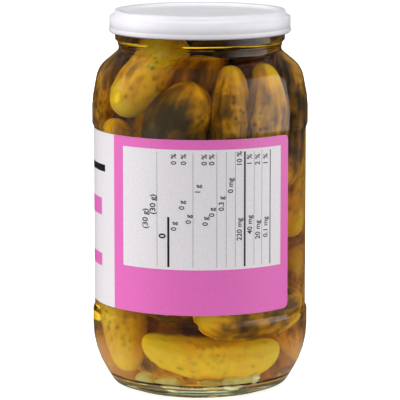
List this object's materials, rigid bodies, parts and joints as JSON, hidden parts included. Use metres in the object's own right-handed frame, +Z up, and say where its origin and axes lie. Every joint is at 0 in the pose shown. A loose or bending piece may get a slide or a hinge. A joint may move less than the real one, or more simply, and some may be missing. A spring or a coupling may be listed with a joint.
{
  "type": "pickle jar",
  "caption": "Round glass jar of whole gherkins in brine, with a straight recessed label zone, rounded shoulder and heel, a white twist-off lid and a wrap-round paper label.",
  "frame": {"origin": "centre of the ring the jar stands on, on the jar's axis", "axes": "+Z up along the jar's axis from the base to the lid; -Y is the front, towards the printed table on the label; +X is the viewer's right"},
  "size_m": [0.101, 0.101, 0.1777],
  "materials": {
    "glass": "clear soda-lime glass, faintly green, blown in a mould",
    "contents": "whole green-yellow gherkins in clear yellow-green brine",
    "label_paper": "coated label paper, semi-gloss, printed in fields of pink and white",
    "lid_lacquer": "white lacquered tinplate, semi-gloss"
  },
  "bodies": {
    "root": {"jar_glass": "glass", "brine": "contents", "label": "label_paper", "lid": "lid_lacquer"}
  },
  "joints": []
}
